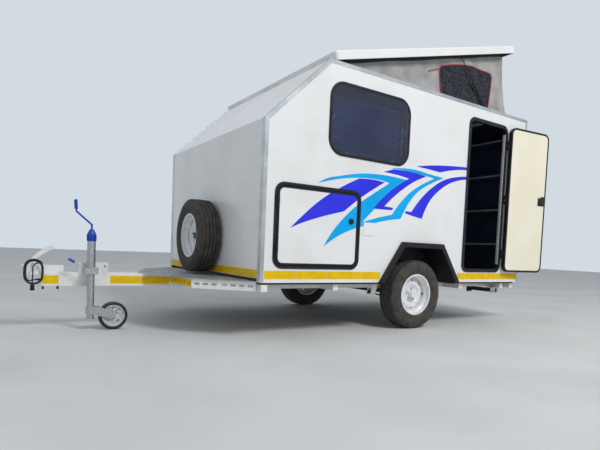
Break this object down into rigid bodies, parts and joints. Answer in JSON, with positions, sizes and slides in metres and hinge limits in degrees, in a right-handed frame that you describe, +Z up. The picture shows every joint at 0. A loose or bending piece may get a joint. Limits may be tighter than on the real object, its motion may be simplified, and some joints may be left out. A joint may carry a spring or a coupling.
{
  "type": "off-road caravan",
  "caption": "Compact off-road caravan with a raised wedge-shaped pop-top tent, side door, spare wheel, chequered front deck, jockey wheel and ball coupling.",
  "frame": {"origin": "centre of the tow ball in the coupling's socket, 0.43 m above the ground", "axes": "+X runs back along the drawbar to the rear wall, +Y to the vehicle's right, +Z up"},
  "size_m": [4.8696, 2.1378, 2.8626],
  "materials": {
    "body_panel": "white laminated panel",
    "floor_board": "sealed plywood",
    "inner_board": "dark laminated board",
    "black_moulding": "black moulded plastic",
    "edge_alloy": "folded angle",
    "acrylic": "tinted acrylic window",
    "blind_fabric": "pleated blind",
    "canvas": "grey tent canvas",
    "door_cream": "cream door liner",
    "chassis_paint": "white chassis paint",
    "black_paint": "black paint",
    "deck_alloy": "patterned deck plate",
    "zinc": "galvanised steel",
    "wheel_paint": "white wheel paint",
    "tyre_rubber": "road tyre",
    "black_rubber": "lead and small wheel",
    "blue_plastic": "blue cap",
    "lamp_red": "red lamp lens"
  },
  "bodies": {
    "trailer": {"axle_beam": "black_paint", "bed_base": "inner_board", "chassis_frame": "chassis_paint", "coupling_head": "chassis_paint", "coupling_lever": "chassis_paint", "deck_frame": "chassis_paint", "deck_plate": "deck_alloy", "door_frame": "black_moulding", "drawbar": "chassis_paint", "edge_trims": "edge_alloy", "floor_panel": "floor_board", "front_slope": "body_panel", "jockey_clamp": "zinc", "jockey_crank": "blue_plastic", "jockey_tube": "zinc", "lead": "black_rubber", "lead_coil": "black_rubber", "lead_plug": "black_moulding", "leaf_springs": "black_paint", "locker_frames": "black_moulding", "rear_cabinet": "inner_board", "roof_fittings": "black_paint", "roof_frame": "body_panel", "side_hatch": "body_panel", "spare_carrier": "black_paint", "spare_rim": "wheel_paint", "spare_tyre": "tyre_rubber", "tail_lamps": "lamp_red", "tent_canvas": "canvas", "wall_front": "body_panel", "wall_left": "body_panel", "wall_rear": "body_panel", "wall_right": "body_panel", "wheel_arches": "black_moulding", "window_blinds": "blind_fabric", "window_frames": "black_moulding", "window_panes": "acrylic"},
    "wheel_left": {"tyre_left": "tyre_rubber", "rim_left": "wheel_paint"},
    "wheel_right": {"tyre_right": "tyre_rubber", "rim_right": "wheel_paint"},
    "jockey_leg": {"jockey_leg": "zinc"},
    "jockey_fork": {"jockey_fork": "zinc"},
    "jockey_wheel": {"jockey_wheel": "black_rubber"},
    "lid": {"lid": "body_panel", "lid_fittings": "black_paint"},
    "strut_tube_left": {"strut_tube_left": "black_paint"},
    "strut_tube_right": {"strut_tube_right": "black_paint"},
    "strut_rod_left": {"strut_rod_left": "zinc"},
    "strut_rod_right": {"strut_rod_right": "zinc"},
    "entry_door": {"entry_door_edge": "black_moulding", "entry_door_panel": "body_panel", "entry_door_liner": "door_cream"},
    "locker_door_left": {"locker_door_left": "body_panel", "locker_trim_left": "black_moulding"},
    "locker_door_right": {"locker_door_right": "body_panel", "locker_trim_right": "black_moulding"},
    "steady_left": {"steady_leg_left": "black_paint"},
    "steady_right": {"steady_leg_right": "black_paint"}
  },
  "joints": [
    {"name": "wheel_left_spin", "type": "hinge", "parent": "trailer", "child": "wheel_left", "pos_m": [3.05, -0.8925, -0.1155], "axis": [0, 1, 0], "continuous": true},
    {"name": "wheel_right_spin", "type": "hinge", "parent": "trailer", "child": "wheel_right", "pos_m": [3.05, 0.8925, -0.1155], "axis": [0, 1, 0], "continuous": true},
    {"name": "jockey_slide", "type": "slide", "parent": "trailer", "child": "jockey_leg", "axis": [0, 0, 1], "range_m": [-0.15, 0.05]},
    {"name": "jockey_swivel", "type": "hinge", "parent": "jockey_leg", "child": "jockey_fork", "pos_m": [0.415, -0.137, -0.27], "axis": [0, 0, 1], "continuous": true},
    {"name": "jockey_wheel_spin", "type": "hinge", "parent": "jockey_fork", "child": "jockey_wheel", "pos_m": [0.58, -0.137, -0.322], "axis": [0, 1, 0], "continuous": true},
    {"name": "lid_hinge", "type": "hinge", "parent": "trailer", "child": "lid", "pos_m": [1.998, 0, 1.735], "axis": [0, 1, 0], "range_deg": [0, 15.5], "deforming": ["tent_canvas"]},
    {"name": "strut_left_turn", "type": "hinge", "parent": "trailer", "child": "strut_tube_left", "pos_m": [3.884, -0.957, 1.766], "axis": [0, 1, 0], "range_deg": [-47.13, 0]},
    {"name": "strut_left_slide", "type": "slide", "parent": "strut_tube_left", "child": "strut_rod_left", "axis": [-0.714, 0, 0.7001], "range_m": [-0.2225, 0]},
    {"name": "strut_right_turn", "type": "hinge", "parent": "trailer", "child": "strut_tube_right", "pos_m": [3.884, 0.957, 1.766], "axis": [0, 1, 0], "range_deg": [-47.13, 0]},
    {"name": "strut_right_slide", "type": "slide", "parent": "strut_tube_right", "child": "strut_rod_right", "axis": [-0.714, 0, 0.7001], "range_m": [-0.2225, 0]},
    {"name": "entry_door_hinge", "type": "hinge", "parent": "trailer", "child": "entry_door", "pos_m": [4.2345, -1.03, 0.853], "axis": [0, 0, -1], "range_deg": [0, 174]},
    {"name": "locker_left_hinge", "type": "hinge", "parent": "trailer", "child": "locker_door_left", "pos_m": [1.518, -1.012, 0.427], "axis": [0, 0, -1], "range_deg": [0, 110]},
    {"name": "locker_right_hinge", "type": "hinge", "parent": "trailer", "child": "locker_door_right", "pos_m": [1.518, 1.012, 0.427], "axis": [0, 0, 1], "range_deg": [0, 110]},
    {"name": "steady_left_hinge", "type": "hinge", "parent": "trailer", "child": "steady_left", "pos_m": [4.35, -0.88, -0.1], "axis": [-1, 0, 0], "range_deg": [0, 90]},
    {"name": "steady_right_hinge", "type": "hinge", "parent": "trailer", "child": "steady_right", "pos_m": [4.35, 0.88, -0.1], "axis": [1, 0, 0], "range_deg": [0, 90]}
  ],
  "couplings": [
    {"joint": "strut_left_turn", "follows": "lid_hinge", "ratio": -3.028},
    {"joint": "strut_left_slide", "follows": "lid_hinge", "m_per_rad": -0.82059},
    {"joint": "strut_right_turn", "follows": "lid_hinge", "ratio": -3.028},
    {"joint": "strut_right_slide", "follows": "lid_hinge", "m_per_rad": -0.82059}
  ]
}
